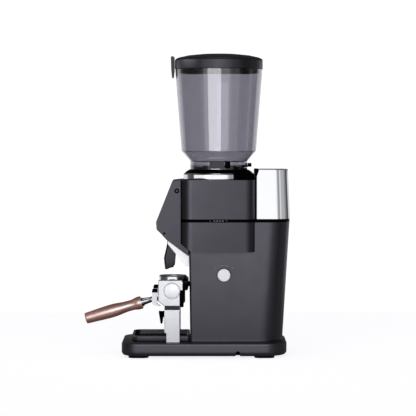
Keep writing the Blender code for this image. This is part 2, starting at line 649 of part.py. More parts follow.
def make_portafilter():
    outside = [(0, BOWL_BOTTOM), (9.0, BOWL_BOTTOM), (20.0, 97.5), (BOWL_RADIUS, 103.0),
               (BOWL_RADIUS, RING_LOW), (FILTER_RADIUS, RING_LOW), (FILTER_RADIUS, RIM_TOP),
               (0, RIM_TOP)]
    cup = turned("portafilter_body", outside, CHROME, (0, FILTER_Y), "Z", 28)
    join(cup, block("lugs", (-34.0, 34.0), (-32.0, -22.3), (RING_LOW + 0.3, 132.0), CHROME))
    neck = tube_rounds([(-45.0, 113.2), (-65.5, 108.0), (-87.6, 102.4)], [5.4, 5.0, 7.8])
    join(cup, loft("neck", neck, CHROME))
    inside = [(0, RIM_TOP + 5), (23.0, RIM_TOP + 5), (22.6, 105.0), (17.0, 100.0), (4.0, 99.5),
              (4.0, BOWL_BOTTOM - 5), (0, BOWL_BOTTOM - 5)]
    cut(cup, turned("cup_room", inside, CHROME, (0, FILTER_Y), "Z", 28))

    basket = [(0, 105.5), (20.5, 105.5), (22.0, 108.5), (22.2, RIM_TOP + GAP),
              (26.6, RIM_TOP + GAP), (26.6, 155.0), (21.2, 155.0), (21.0, 109.0),
              (19.8, 106.8), (0, 106.8)]
    turned("filter_basket", basket, STEEL, (0, FILTER_Y), "Z", 24)

    stations = [(0.0, 12.4), (0.025, 13.3), (0.10, 12.3), (0.20, 11.0), (0.38, 12.6), (0.56, 14.0),
                (0.75, 12.8), (0.93, 10.4), (1.0, 8.6), (1.025, 5.0)]
    path, radii = [], []
    for t, radius in stations:
        path.append((HANDLE_START[0] + t * (HANDLE_END[0] - HANDLE_START[0]),
                     HANDLE_START[1] + t * (HANDLE_END[1] - HANDLE_START[1])))
        radii.append(radius)
    loft("portafilter_handle", tube_rounds(path, radii), WOOD)

    pour = [(-33.0, 93.6), (-21.0, 93.6), (-21.0, 85.0), (-40.0, 75.0), (-46.0, 73.0),
            (-48.0, 60.5), (-51.0, 60.5), (-55.0, 84.0), (-45.0, 84.0), (-34.0, 89.0)]
    spout = sideways("portafilter_spout", pour, -13.0, 13.0, CHROME)
    cut(spout, block("spout_split", (-4.5, 4.5), (-60.0, -38.0), (50.0, 95.0), CHROME))


def make_tray():
    def plan(inset):
        return rounded_plan(TRAY_HALF_WIDTH, TRAY_FRONT, TRAY_REAR, TRAY_RADIUS, 4.0, inset)

    levels = [(BASE_TOP + GAP, 1.2), (33.0, 0.0), (40.6, 0.0), (TRAY_TOP, 1.6)]
    loops = [[(x, y, z) for x, y in plan(inset)] for z, inset in levels]
    tray = loft("drip_tray", loops, BLACK)
    cut(tray, upright("tray_room", plan(4.6), 33.0, 50.0, BLACK))


# Joints' pivots

def pivot(name, position, children):
    """An empty on a joint's axis that carries the pieces that move with it."""
    empty = bpy.data.objects.new(name, None)
    empty.location = [value * MM for value in position]
    bpy.context.scene.collection.objects.link(empty)
    place = Matrix.Translation(empty.location)
    for child in children:
        piece = bpy.data.objects[child]
        piece.parent = empty
        piece.matrix_parent_inverse = place.inverted()
    return empty


def make_pivots():
    pivot("adjust_axis", (0, AXIS_Y, RING_TOP),
          ["adjust_ring", "adjust_lever", "upper_burr_carrier", "upper_burr"])
    pivot("rotor_axis", (0, AXIS_Y, 150),
          ["drive_shaft", "motor_rotor", "cooling_fan", "lower_burr_carrier", "lower_burr"])
    pivot("power_axis", (BODY_HALF_WIDTH, POWER_Y, POWER_Z), ["power_knob"])
    pivot("start_axis", (0, 0, START_Z), ["start_button"])
    pivot("tray_slide", (0, TRAY_FRONT, TRAY_TOP), ["drip_tray"])
    pivot("hopper_lift", (0, AXIS_Y, RING_TOP), ["hopper", "hopper_collar"])
    pivot("gate_slide", (0, AXIS_Y, GATE_BOTTOM), ["hopper_gate"])
    pivot("latch_axis", (0, AXIS_Y, GATE_TOP), ["hopper_latch"])
    pivot("lid_lift", (0, AXIS_Y, HOPPER_TOP), ["lid"])
    pivot("clip_axis", (0, -27.5, 574.0), ["lid_clip"])
    pivot("fork_lift", (0, ROD_Y, COLUMN_TOP),
          ["fork_block_left", "fork_block_right", "fork_arm_left", "fork_arm_right", "fork_bridge"])
    pivot("lock_axis_left", (-COLUMN_OUTER, ROD_Y, KNOB_Z), ["lock_knob_left"])
    pivot("lock_axis_right", (COLUMN_OUTER, ROD_Y, KNOB_Z), ["lock_knob_right"])
    pivot("portafilter_slide", (0, FILTER_Y, ARM_TOP),
          ["portafilter_body", "filter_basket", "portafilter_handle", "portafilter_spout"])


def main():
    for old in list(bpy.data.objects):
        bpy.data.objects.remove(old, do_unlink=True)
    make_base()
    make_chassis()
    make_housing()
    make_rear_cover()
    make_head()
    make_grinder()
    make_motor()
    make_controls()
    make_hopper()
    make_fork()
    make_portafilter()
    make_tray()
    make_pivots()


main()
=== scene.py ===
# Burr coffee grinder: the looks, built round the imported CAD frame.
# Shapes are worked out in millimetres; placeMesh turns them into metres.
import json
import math

import bmesh
import bpy
import numpy as np
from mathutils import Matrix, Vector


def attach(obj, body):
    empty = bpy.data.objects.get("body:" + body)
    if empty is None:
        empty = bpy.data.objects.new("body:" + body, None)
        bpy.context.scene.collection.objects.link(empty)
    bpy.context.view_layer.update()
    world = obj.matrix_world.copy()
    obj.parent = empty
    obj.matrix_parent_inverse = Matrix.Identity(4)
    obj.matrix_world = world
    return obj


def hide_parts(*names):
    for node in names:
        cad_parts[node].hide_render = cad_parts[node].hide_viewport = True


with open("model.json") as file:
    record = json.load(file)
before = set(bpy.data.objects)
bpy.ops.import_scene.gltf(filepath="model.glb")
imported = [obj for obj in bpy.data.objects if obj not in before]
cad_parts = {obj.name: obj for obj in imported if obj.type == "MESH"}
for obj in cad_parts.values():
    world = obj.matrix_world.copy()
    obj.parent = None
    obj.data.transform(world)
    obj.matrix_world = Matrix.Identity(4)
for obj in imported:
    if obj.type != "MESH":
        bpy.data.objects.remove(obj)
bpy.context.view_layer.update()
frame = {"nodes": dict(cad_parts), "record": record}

bodyOfNode = {node: body for body, nodes in frame["record"]["behaviour"]["bodies"].items() for node in nodes}
slotOfNode = {part["node"]: part["material_slot"] for part in frame["record"]["subparts"]}


def linear(hexColour):    # sRGB hex to linear, with alpha 1
    parts = [int(hexColour[i:i + 2], 16) / 255 for i in (1, 3, 5)]
    return [c / 12.92 if c <= 0.04045 else ((c + 0.055) / 1.055) ** 2.4 for c in parts] + [1.0]


def perMm(size):    # noise scale whose features are this many millimetres across
    return 1000 / size


def addNode(tree, kind, inputs=None, **settings):    # one node, its settings, its values and its links
    node = tree.nodes.new(kind)
    for key, value in settings.items():
        setattr(node, key, value)
    for key, value in (inputs or {}).items():
        if isinstance(value, bpy.types.NodeSocket):
            tree.links.new(value, node.inputs[key])
        else:
            node.inputs[key].default_value = value
    return node


def newSurface(name, values):    # a Principled material with its uniform values on the shader's own sockets
    surface = bpy.data.materials.new(name)
    surface.use_nodes = True
    tree = surface.node_tree
    shader = tree.nodes["Principled BSDF"]
    for key, value in values.items():
        shader.inputs[key].default_value = value
    return surface, tree, shader


def grainBump(tree, shader, coordinate, sizeMm, heightMm,
              stretch=(1, 1, 1)):    # a fine noise felt as height
    place = addNode(tree, "ShaderNodeMapping", {"Vector": coordinate, "Scale": stretch})
    noise = addNode(tree, "ShaderNodeTexNoise",
                    {"Vector": place.outputs["Vector"], "Scale": perMm(sizeMm), "Detail": 3.0})
    bump = addNode(tree, "ShaderNodeBump",
                   {"Height": noise.outputs["Fac"], "Distance": heightMm / 1000, "Strength": 1.0})
    tree.links.new(bump.outputs["Normal"], shader.inputs["Normal"])
    return noise


def coatedSurface(name, look):    # paint, plastic, rubber or plain metal: drift, gloss and grain
    surface, tree, shader = newSurface(name, look["shader"])
    coordinate = addNode(tree, "ShaderNodeTexCoord").outputs["Object"]
    drift = addNode(tree, "ShaderNodeTexNoise",
                    {"Vector": coordinate, "Scale": perMm(look["driftMm"]), "Detail": 4.0})
    colour = addNode(tree, "ShaderNodeMix", {"Factor": drift.outputs["Fac"]}, data_type="RGBA")
    colour.inputs["A"].default_value = linear(look["dark"])
    colour.inputs["B"].default_value = linear(look["light"])
    tree.links.new(colour.outputs["Result"], shader.inputs["Base Color"])
    smear = addNode(tree, "ShaderNodeTexNoise",
                    {"Vector": coordinate, "Scale": perMm(look["smearMm"]), "Detail": 5.0, "Roughness": 0.6})
    low, high = look["roughness"]
    gloss = addNode(tree, "ShaderNodeMapRange",
                    {"Value": smear.outputs["Fac"], "From Min": 0.3, "From Max": 0.7, "To Min": low,
                     "To Max": high})
    tree.links.new(gloss.outputs["Result"], shader.inputs["Roughness"])
    grainBump(tree, shader, coordinate, look["grainMm"], look["grainHeightMm"],
              stretch=look.get("stretch", (1, 1, 1)))
    return surface


looks = {    # each: sRGB ends of the colour drift, gloss range, sizes in millimetres
    # satin powder coat on steel: soft broad highlight, a very fine orange peel
    "powderCoatGraphite": dict(dark="#1a191c", light="#1e1d21", roughness=(0.34, 0.40), driftMm=90,
                               smearMm=35, grainMm=1.6, grainHeightMm=0.010,
                               shader={"IOR": 1.84, "Specular Tint": (0.88, 0.86, 1.0, 1.0)}),
    # the same coat on a casting: a little darker and coarser
    "powderCoatCasting": dict(dark="#161518", light="#1b1a1d", roughness=(0.34, 0.42), driftMm=70,
                              smearMm=30, grainMm=2.2, grainHeightMm=0.015,
                              shader={"IOR": 1.84, "Specular Tint": (0.88, 0.86, 1.0, 1.0)}),
    # moulded ABS with a spark-eroded texture: black, dull
    "mouldedAbsBlack": dict(dark="#040405", light="#070708", roughness=(0.42, 0.55), driftMm=60, smearMm=20,
                            grainMm=1.2, grainHeightMm=0.02,
                            shader={"IOR": 1.46, "Specular IOR Level": 0.03}),
    # lid: moulded ABS in dark grey
    "mouldedAbsGraphite": dict(dark="#161619", light="#1b1b1e", roughness=(0.32, 0.40), driftMm=60,
                               smearMm=22, grainMm=1.2, grainHeightMm=0.010,
                               shader={"IOR": 1.74, "Specular Tint": (0.9, 0.88, 1.0, 1.0)}),
    # silicone rubber: no shine
    "mouldedRubber": dict(dark="#0d0d0e", light="#161617", roughness=(0.72, 0.85), driftMm=25, smearMm=12,
                          grainMm=0.9, grainHeightMm=0.04, shader={"IOR": 1.43}),
    # column band: grey rubber
    "bandRubber": dict(dark="#34363f", light="#3c3e48", roughness=(0.55, 0.68), driftMm=25, smearMm=12,
                       grainMm=0.9, grainHeightMm=0.03, shader={"IOR": 1.45}),
    # polished chrome plate: near-mirror with faint wiping marks
    "polishedChrome": dict(dark="#eff0f3", light="#f5f5f7", roughness=(0.02, 0.06), driftMm=80, smearMm=26,
                           grainMm=60.0, grainHeightMm=0.006, shader={"Metallic": 1.0}),
    # bead-blasted and anodised aluminium: pale, even, soft
    "blastedAluminium": dict(dark="#dbdce1", light="#e2e3e7", roughness=(0.32, 0.40), driftMm=50, smearMm=14,
                             grainMm=0.8, grainHeightMm=0.008, shader={"Metallic": 1.0}),
    # the same, on the fork's blocks and hooks, a shade darker
    "millSatinAluminium": dict(dark="#d3d4d9", light="#dadbe0", roughness=(0.32, 0.40), driftMm=50,
                               smearMm=14, grainMm=0.8, grainHeightMm=0.008, shader={"Metallic": 1.0}),
    # ground and turned steel: fine lines, mid grey
    "groundSteel": dict(dark="#a9aaad", light="#bcbdc0", roughness=(0.22, 0.34), driftMm=30, smearMm=6,
                        grainMm=0.7, grainHeightMm=0.012, stretch=(1, 1, 12), shader={"Metallic": 1.0}),
    # satin white enamel on the knob
    "whiteEnamel": dict(dark="#ededf1", light="#f4f4f7", roughness=(0.32, 0.40), driftMm=20, smearMm=8,
                        grainMm=0.9, grainHeightMm=0.01, shader={"IOR": 1.5, "Coat Weight": 0.3}),
    # frosted acrylic light cover
    "frostedAcrylic": dict(dark="#f3f3f5", light="#fbfbfc", roughness=(0.35, 0.45), driftMm=25, smearMm=9,
                           grainMm=1.0, grainHeightMm=0.02,
                           shader={"IOR": 1.49, "Coat Weight": 0.2,
                                   "Emission Color": (1, 1, 1, 1), "Emission Strength": 0.55}),
    # enamelled copper windings
    "enamelledCopper": dict(dark="#a4552c", light="#c0703c", roughness=(0.25, 0.4), driftMm=12, smearMm=5,
                            grainMm=0.8, grainHeightMm=0.05, stretch=(1, 1, 6), shader={"Metallic": 1.0}),
    # circuit board with solder mask
    "solderMask": dict(dark="#0f3d22", light="#185a31", roughness=(0.3, 0.45), driftMm=9, smearMm=5,
                       grainMm=1.2, grainHeightMm=0.05, shader={"IOR": 1.5}),
    # pad-printed marks
    "paleInk": dict(dark="#b9b9bf", light="#c6c6cc", roughness=(0.5, 0.6), driftMm=10, smearMm=5,
                    grainMm=0.6, grainHeightMm=0.01, shader={"IOR": 1.5}),
}
surfaces = {name: coatedSurface(name, look) for name, look in looks.items()}


def makeClearHopper():    # injection-moulded clear copolyester with a light smoke tint
    look = dict(tint="#c0bfc7", roughness=(0.03, 0.07), grainMm=38, grainHeightMm=0.05)
    surface, tree, shader = newSurface("smokedClearPlastic", {
        "Base Color": linear(look["tint"]), "IOR": 1.585, "Transmission Weight": 1.0,
        "Coat Weight": 0.35, "Coat IOR": 1.9, "Coat Roughness": 0.03})
    coordinate = addNode(tree, "ShaderNodeTexCoord").outputs["Object"]
    noise = grainBump(tree, shader, coordinate, look["grainMm"], look["grainHeightMm"], stretch=(1, 1, 0.2))
    low, high = look["roughness"]
    gloss = addNode(tree, "ShaderNodeMapRange",
                    {"Value": noise.outputs["Fac"], "To Min": low, "To Max": high})
    tree.links.new(gloss.outputs["Result"], shader.inputs["Roughness"])
    return surface


def makeBlackGlass():    # float glass with a black printed back: sharp reflections, faint finger marks
    look = dict(colour="#050506", smearMm=16)
    surface, tree, shader = newSurface("blackGlass", {"Base Color": linear(look["colour"]), "IOR": 1.52,
                                                      "Coat Weight": 1.0, "Coat Roughness": 0.03})
    coordinate = addNode(tree, "ShaderNodeTexCoord").outputs["Object"]
    smear = addNode(tree, "ShaderNodeTexNoise",
                    {"Vector": coordinate, "Scale": perMm(look["smearMm"]), "Detail": 6.0})
    gloss = addNode(tree, "ShaderNodeMapRange",
                    {"Value": smear.outputs["Fac"], "From Min": 0.4, "From Max": 0.75,
                                                 "To Min": 0.04, "To Max": 0.16})
    tree.links.new(gloss.outputs["Result"], shader.inputs["Roughness"])
    return surface


def makeWalnut():    # oiled and polished walnut: streaks along the handle, dark pores, satin lacquer
    look = dict(dark="#2a1610", middle="#4f3027", light="#70493e", ringMm=5.5, poreMm=1.6,
                slope=math.radians(16.2))    # the grain runs along the sloping handle
    surface, tree, shader = newSurface("oiledWalnut", {"IOR": 1.5, "Coat Weight": 1.0, "Coat IOR": 1.6,
                                                       "Coat Roughness": 0.42})
    coordinate = addNode(tree, "ShaderNodeTexCoord").outputs["Object"]
    level = addNode(tree, "ShaderNodeMapping", {"Vector": coordinate, "Rotation": (-look["slope"], 0, 0)})
    place = addNode(tree, "ShaderNodeMapping",
                    {"Vector": level.outputs["Vector"], "Scale": (1.0, 0.10, 1.0)})
    warp = addNode(tree, "ShaderNodeTexNoise",
                   {"Vector": place.outputs["Vector"], "Scale": perMm(look["ringMm"] * 3),
                                                "Detail": 4.0, "Distortion": 0.6})
    streak = addNode(tree, "ShaderNodeTexNoise",
                     {"Vector": place.outputs["Vector"], "Scale": perMm(look["ringMm"]),
                                                  "Detail": 6.0, "Roughness": 0.65, "Distortion": 1.2})
    blend = addNode(tree, "ShaderNodeMix",
                    {"Factor": 0.45, "A": streak.outputs["Fac"], "B": warp.outputs["Fac"]})
    ramp = addNode(tree, "ShaderNodeValToRGB", {"Fac": blend.outputs["Result"]})
    for position, colour in ((0.36, look["dark"]), (0.50, look["middle"]), (0.66, look["light"])):
        stop = ramp.color_ramp.elements.new(position)
        stop.color = linear(colour)
    ramp.color_ramp.elements.remove(ramp.color_ramp.elements[0])
    ramp.color_ramp.elements.remove(ramp.color_ramp.elements[-1])
    tree.links.new(ramp.outputs["Color"], shader.inputs["Base Color"])
    pores = addNode(tree, "ShaderNodeTexNoise",
                    {"Vector": place.outputs["Vector"], "Scale": perMm(look["poreMm"]),
                                                 "Detail": 2.0})
    gloss = addNode(tree, "ShaderNodeMapRange",
                    {"Value": pores.outputs["Fac"], "To Min": 0.34, "To Max": 0.55})
    tree.links.new(gloss.outputs["Result"], shader.inputs["Roughness"])
    bump = addNode(tree, "ShaderNodeBump",
                   {"Height": pores.outputs["Fac"], "Distance": 0.00012, "Strength": 0.6})
    tree.links.new(bump.outputs["Normal"], shader.inputs["Normal"])
    return surface


surfaces["smokedClearPlastic"] = makeClearHopper()
surfaces["blackGlass"] = makeBlackGlass()
surfaces["oiledWalnut"] = makeWalnut()
surfaceOfSlot = {
    "painted_graphite": "powderCoatGraphite", "painted_base": "powderCoatCasting",
    "black_plastic": "mouldedAbsBlack", "black_rubber": "mouldedRubber", "chrome": "polishedChrome",
    "satin_aluminium": "blastedAluminium", "ground_steel": "groundSteel",
    "smoked_clear_plastic": "smokedClearPlastic", "walnut": "oiledWalnut", "black_glass": "blackGlass",
    "frosted_plastic": "frostedAcrylic", "white_enamel": "whiteEnamel",
    "enamelled_copper": "enamelledCopper", "circuit_board": "solderMask"}
for nodeName, cadObject in frame["nodes"].items():
    cadObject.data.materials.clear()
    cadObject.data.materials.append(surfaces[surfaceOfSlot[slotOfNode[nodeName]]])
print("materials made")


def gridFaces(rows, columns, closeRows=False, closeColumns=True):    # quads between neighbours on a grid
    index = np.arange(rows * columns).reshape(rows, columns)
    if closeRows:
        index = np.vstack([index, index[:1]])
    if closeColumns:
        index = np.hstack([index, index[:, :1]])
    quads = np.stack([index[:-1, :-1], index[:-1, 1:], index[1:, 1:], index[1:, :-1]], axis=-1)
    return quads.reshape(-1, 4).tolist()


creaseAngle = math.radians(35)    # edges sharper than this stay crisp


def placeMesh(name, points, faces, surface, stands=(), body=None):    # millimetre points to a riding piece
    mesh = bpy.data.meshes.new(name)
    mesh.from_pydata((np.asarray(points).reshape(-1, 3) / 1000).tolist(), [], faces)
    work = bmesh.new()
    work.from_mesh(mesh)
    bmesh.ops.remove_doubles(work, verts=work.verts, dist=1e-7)    # closes seams and poles
    bmesh.ops.recalc_face_normals(work, faces=work.faces)
    work.to_mesh(mesh)
    work.free()
    mesh.shade_smooth()
    mesh.set_sharp_from_angle(angle=creaseAngle)
    piece = bpy.data.objects.new(name, mesh)
    bpy.context.scene.collection.objects.link(piece)
    mesh.materials.append(surfaces[surface])
    return settle(piece, stands, body)


def settle(piece, stands, body):    # its body, and the nodes it stands for, which are hidden
    if stands:
        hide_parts(*stands)
    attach(piece, body or bodyOfNode[stands[0]])
    return piece


def fillet(corners, steps=5, closed=True):    # corners (a, b, radius) become arcs tangent to both sides
    spots = np.array([corner[:2] for corner in corners], dtype=float)
    radii = [corner[2] if len(corner) > 2 else 0 for corner in corners]
    out = []
    for i, here in enumerate(spots):
        before, after = spots[i - 1], spots[(i + 1) % len(spots)]
        if radii[i] == 0 or (not closed and i in (0, len(spots) - 1)):
            out.append(here[None])
            continue
        toBefore, toAfter = before - here, after - here
        lengths = np.linalg.norm(toBefore), np.linalg.norm(toAfter)
        u, v = toBefore / lengths[0], toAfter / lengths[1]
        half = math.acos(np.clip(u @ v, -1, 1)) / 2
        reach = min(radii[i] / math.tan(half), 0.49 * min(lengths))
        radius = reach * math.tan(half)
        centre = here + (u + v) / np.linalg.norm(u + v) * (radius / math.sin(half))
        start, end = here + u * reach - centre, here + v * reach - centre
        sweep = math.pi - 2 * half
        t = np.linspace(0, 1, steps + 1)[:, None]
        out.append(centre + (start * np.sin((1 - t) * sweep) + end * np.sin(t * sweep)) / math.sin(sweep))
    return np.vstack(out)


def circleSteps(count):    # evenly spaced angles once round
    return np.linspace(0, 2 * np.pi, count, endpoint=False)


def turned(name, corners, surface, centre, axis="Z", steps=128, fine=5, closed=True, **place):
    # each profile point (radius, height) sweeps a circle round the axis through centre
    profile = fillet(corners, fine, closed)
    angle = circleSteps(steps)
    across = profile[:, :1] * np.cos(angle)
    along = profile[:, :1] * np.sin(angle)
    height = np.repeat(profile[:, 1:], steps, axis=1)
    if axis == "Z":
        points = np.stack([centre[0] + across, centre[1] + along, height], axis=-1)
    else:
        points = np.stack([height, centre[0] + across, centre[1] + along], axis=-1)
    return placeMesh(name, points, gridFaces(len(profile), steps, closeRows=closed), surface, **place)


def anticlockwise(outline):    # the outline turned to run anticlockwise, by the sign of its area
    following = np.roll(outline, -1, axis=0)
    area = np.sum(outline[:, 0] * following[:, 1] - following[:, 0] * outline[:, 1])
    return outline if area > 0 else outline[::-1]


def movedIn(outline, inset):    # an outline moved inwards along its own normals
    tangent = np.roll(outline, -1, axis=0) - np.roll(outline, 1, axis=0)
    tangent = tangent / np.maximum(np.linalg.norm(tangent, axis=1), 1e-9)[:, None]
    return outline - inset * np.stack([tangent[:, 1], -tangent[:, 0]], axis=1)


def stacked(name, outline, rows, surface, axis="Z", closeRows=False, lidAfter=None, **place):
    # at each (height, inset) row the outline, moved in by the inset, is repeated, and the rows are joined;
    # lidAfter closes that row and the next with flat faces instead of joining them
    sheets = []
    for height, inset in rows:
        flat = outline(height, inset) if callable(outline) else movedIn(anticlockwise(np.asarray(outline)),
                                                                        inset)
        level = np.full(len(flat), height)
        order = (flat[:, 0], flat[:, 1], level) if axis == "Z" else (level, flat[:, 0], flat[:, 1])
        sheets.append(np.stack(order, axis=1))
    count = len(flat)
    faces = gridFaces(len(rows), count, closeRows=closeRows)
    if not closeRows:
        faces.append(list(range(count))[::-1])
        faces.append(list(range((len(rows) - 1) * count, len(rows) * count)))
    if lidAfter is not None:
        lids = [list(range(row * count, (row + 1) * count)) for row in (lidAfter, lidAfter + 1)]
        faces[lidAfter * count:(lidAfter + 1) * count] = lids
    return placeMesh(name, np.stack(sheets), faces, surface, **place)


def plan(look, inset=0.0, lift=0.0, steps=12):    # a rounded rectangle in plan; its ends lean with height
    half = look["halfWidth"] - inset
    front = look["front"] + look.get("frontLean", 0) * lift + inset
    rear = look["rear"] + look.get("rearLean", 0) * lift - inset
    nose = max(look["frontRadius"] - inset, 0.4)
    tail = max(look["rearRadius"] - inset, 0.4)
    corners = [(-half, front, nose), (half, front, nose), (half, rear, tail), (-half, rear, tail)]
    return fillet(corners, steps)


def slab(name, corners, low, high, edge, surface, axis="Z", fine=4, rim=3, **place):
    # an outline extruded from low to high, its rims rounded with radius edge
    angle = np.linspace(0, np.pi / 2, rim + 1)
    inset = edge * (1 - np.sin(angle))
    rise = edge * (1 - np.cos(angle))
    rows = list(zip(low + rise, inset)) + list(zip(high - rise[::-1], inset[::-1]))
    return stacked(name, fillet(corners, fine), rows, surface, axis, **place)


def swept(name, path, radii, surface, steps=48, straight=False, **place):
    # circles carried along a path of 3-D points, square to its direction
    path = np.asarray(path, dtype=float)
    ahead = np.tile(path[-1] - path[0], (len(path), 1)) if straight else np.gradient(path, axis=0)
    ahead /= np.linalg.norm(ahead, axis=1)[:, None]
    side = np.cross(ahead, np.array([0.0, 0.0, 1.0]))
    flat = np.linalg.norm(side, axis=1) < 1e-6
    side[flat] = (1, 0, 0)
    side /= np.linalg.norm(side, axis=1)[:, None]
    up = np.cross(side, ahead)
    angle = circleSteps(steps)
    cosine, sine = np.cos(angle)[None, :, None], np.sin(angle)[None, :, None]
    radii = np.asarray(radii)[:, None, None]
    points = path[:, None] + radii * cosine * side[:, None] + radii * sine * up[:, None]
    faces = gridFaces(len(path), steps)
    faces += [list(range(steps))[::-1], list(range((len(path) - 1) * steps, len(path) * steps))]
    return placeMesh(name, points, faces, surface, **place)


def smoothCurve(stations, count):    # a smooth curve through stations, in Catmull-Rom pieces
    knots = np.vstack([2 * stations[0] - stations[1], stations, 2 * stations[-1] - stations[-2]])
    t = np.linspace(0, len(stations) - 1 - 1e-9, count)
    k = t.astype(int)
    f = (t - k)[:, None]
    a, b, c, d = knots[k], knots[k + 1], knots[k + 2], knots[k + 3]
    square, cube = 2 * a - 5 * b + 4 * c - d, 3 * b - a - 3 * c + d
    return 0.5 * (2 * b + (c - a) * f + square * f ** 2 + cube * f ** 3)


def rounded(node, edge, surface=None):    # a merged copy of a CAD node with its sharp edges rounded
    mesh = bpy.data.meshes.new(node + "Finished")
    work = bmesh.new()
    work.from_mesh(frame["nodes"][node].data)
    bmesh.ops.remove_doubles(work, verts=work.verts, dist=1e-6)
    bmesh.ops.dissolve_limit(work, angle_limit=math.radians(0.4), verts=work.verts, edges=work.edges)
    work.to_mesh(mesh)
    work.free()
    mesh.shade_smooth()
    mesh.set_sharp_from_angle(angle=math.radians(30))
    piece = bpy.data.objects.new(node + "Finished", mesh)
    bpy.context.scene.collection.objects.link(piece)
    surface = surface or surfaceOfSlot[slotOfNode[node]]
    mesh.materials.clear()
    mesh.materials.append(surfaces[surface])
    bevel = piece.modifiers.new("rims", "BEVEL")
    bevel.width = edge / 1000
    bevel.segments = 3
    bevel.limit_method = "ANGLE"
    bevel.angle_limit = math.radians(32)
    bevel.harden_normals = True
    return settle(piece, (node,), None)


def carve(piece, low, high, arch=None):    # cuts out a box, or the outline arch (Y, Z) along X
    corners = arch or [(low[1], low[2]), (high[1], low[2]), (high[1], high[2]), (low[1], high[2])]
    flat = anticlockwise(np.array(corners, dtype=float))
    count = len(flat)
    ends = [np.column_stack([np.full(count, x), flat]) for x in (low[0], high[0])]
    mesh = bpy.data.meshes.new("carver")
    faces = gridFaces(2, count) + [list(range(count))[::-1], list(range(count, 2 * count))]
    mesh.from_pydata((np.vstack(ends) / 1000).tolist(), [], faces)
    work = bmesh.new()
    work.from_mesh(mesh)
    bmesh.ops.recalc_face_normals(work, faces=work.faces)
    work.to_mesh(mesh)
    work.free()
    tool = bpy.data.objects.new("carver", mesh)
    bpy.context.scene.collection.objects.link(tool)
    change = piece.modifiers.new("carve", "BOOLEAN")
    change.operation = "DIFFERENCE"
    change.object = tool
    bpy.context.view_layer.update()
    result = bpy.data.meshes.new_from_object(piece.evaluated_get(bpy.context.evaluated_depsgraph_get()))
    piece.modifiers.remove(change)
    result.name = piece.data.name
    result.set_sharp_from_angle(angle=creaseAngle)    # the new rims stay crisp, flat sides stay flat
    piece.data = result
    bpy.data.objects.remove(tool, do_unlink=True)
    return piece


print("shape tools ready")

# Stand: base, chassis, housing
base = dict(halfWidth=94.5, front=-125.0, rear=193.4, frontRadius=33.0, rearRadius=48.0,
            rows=[(5.3, 7.0), (5.7, 5.0), (6.7, 3.1), (8.2, 1.6), (10.0, 0.6), (12.0, 0.1), (13.5, 0.0),
                  (16.4, 0.0), (17.4, 0.0), (26.4, 0.0), (27.4, 0.0), (28.5, 0.25), (29.5, 0.9), (30.1, 1.8),
                  (30.4, 3.0)],
            notch=(98.5, 11.4), notchRadius=4.4, notchDepth=(72.0, 96.0))
basePiece = stacked("basePlate", lambda z, inset: plan(base, inset, steps=16), base["rows"],
                    "powderCoatCasting", stands=("base_plate",))
notchY, notchZ = base["notch"]
notchRadius = base["notchRadius"]
notchArch = [(notchY + notchRadius * math.cos(a), notchZ + notchRadius * math.sin(a))
             for a in np.linspace(0, np.pi, 17)]
notchArch += [(notchY - notchRadius, 0.0), (notchY + notchRadius, 0.0)]
notchInside, notchOutside = base["notchDepth"]
carve(basePiece, (notchInside,), (notchOutside,), notchArch)

chassis = dict(halfWidth=65.0, front=7.2, frontLean=-0.0144, rear=185.9, rearLean=0.0612, frontRadius=5.0,
               rearRadius=48.0, wall=3.0, low=30.7, high=261.2, foot=30.4, rim=0.6,
               startHole=(5.4, 132.6, 143.4), powerBore=(3.4, 72.0, 159.5))


def chassisRows(look):    # up the outside and down the inside, with eased rims
    low, high, rim, wall = look["low"], look["high"], look["rim"], look["wall"]
    levels = np.linspace(low + rim, high - rim, 7)
    outside = [(low, rim)] + [(z, 0.0) for z in levels] + [(high, rim)]
    inside = [(high, wall - rim)] + [(z, wall) for z in levels[::-1]] + [(low, wall - rim)]
    return outside + inside


chassisPiece = stacked("chassisShell", lambda z, inset: plan(chassis, inset, z - chassis["foot"], 16),
                       chassisRows(chassis), "powderCoatGraphite", closeRows=True, stands=("chassis_shell",))
holeHalf, holeLow, holeHigh = chassis["startHole"]
carve(chassisPiece, (-holeHalf, -5.0, holeLow), (holeHalf, 20.0, holeHigh))
boreRadius, boreY, boreZ = chassis["powerBore"]
bore = [(boreY + boreRadius * math.cos(a), boreZ + boreRadius * math.sin(a)) for a in circleSteps(24)]
carve(chassisPiece, (60.0,), (70.0,), bore)

cover = dict(halfWidth=65.0, front=133.6, rear=200.4, rearLean=-0.0418, frontRadius=3.0, rearRadius=48.0,
             low=267.3, high=363.0, edge=1.6, wall=2.5,
             slant=[(126.0, 344.0), (133.6, 344.0), (140.2, 364.0), (139.0, 372.0), (126.0, 372.0)])
easing = np.linspace(0, np.pi / 2, 6)
coverRows = [(cover["low"], 0.0), (cover["low"] + 30, 0.0), (cover["low"] + 60, 0.0)]
coverRows += [(cover["high"] - cover["edge"] * (1 - math.sin(a)),
               cover["edge"] * (1 - math.cos(a))) for a in easing]
coverRows += [(cover["high"] - cover["wall"], cover["wall"] + 2.0),
              (cover["high"] - cover["wall"] - 2, cover["wall"]), (cover["low"], cover["wall"])]
lidRow = 2 + len(easing)
coverPiece = stacked("rearCover", lambda z, inset: plan(cover, inset, z - cover["low"], 16), coverRows,
                     "polishedChrome", closeRows=True, lidAfter=lidRow, stands=("rear_cover",))
carve(coverPiece, (-80.0,), (80.0,), cover["slant"])

